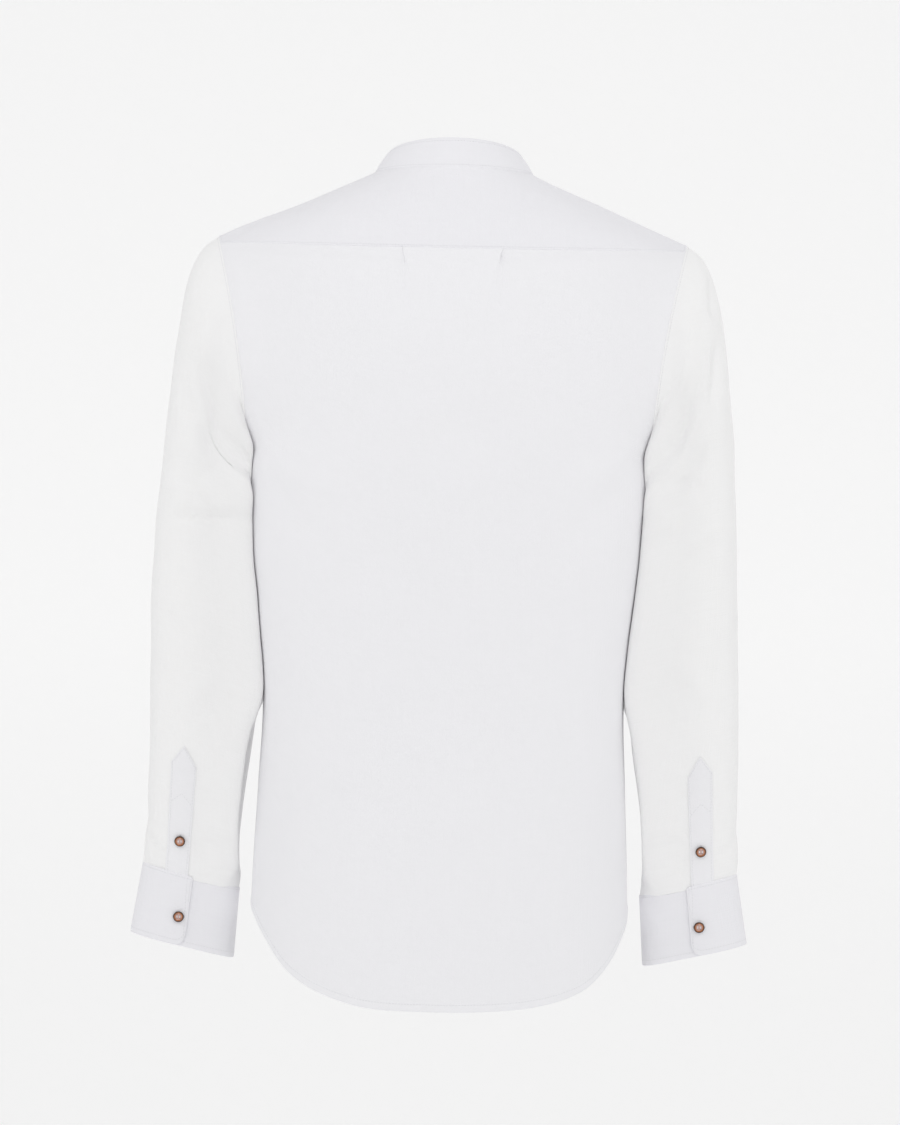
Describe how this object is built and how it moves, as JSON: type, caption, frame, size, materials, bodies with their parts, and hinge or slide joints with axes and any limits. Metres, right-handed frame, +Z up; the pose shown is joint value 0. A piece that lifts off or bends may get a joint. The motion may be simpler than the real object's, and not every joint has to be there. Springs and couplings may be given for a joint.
{
  "type": "mandarin collar shirt",
  "caption": "Long-sleeved linen shirt with a band collar, back yoke, buttoned cuffs and a curved shirttail hem, filled out as if worn.",
  "frame": {"origin": "the middle of the wearer's neck, level with the tops of the shoulders", "axes": "+Z up, the front of the shirt faces -Y, +X towards the wearer's left"},
  "size_m": [0.5674, 0.2448, 0.7905],
  "materials": {
    "linen": "matte cool white linen",
    "button": "brown, polished, with a paler dish"
  },
  "bodies": {
    "root": {"back": "linen", "yoke": "linen", "front_left": "linen", "front_right": "linen", "collar_band": "linen", "sleeve_left": "linen", "sleeve_right": "linen", "cuff_left": "linen", "cuff_right": "linen", "gauntlet_left": "linen", "gauntlet_right": "linen", "button_collar": "button", "button_front_1": "button", "button_front_2": "button", "button_front_3": "button", "button_front_4": "button", "button_front_5": "button", "button_front_6": "button", "button_cuff_left": "button", "button_cuff_right": "button", "button_gauntlet_left": "button", "button_gauntlet_right": "button"}
  },
  "joints": []
}
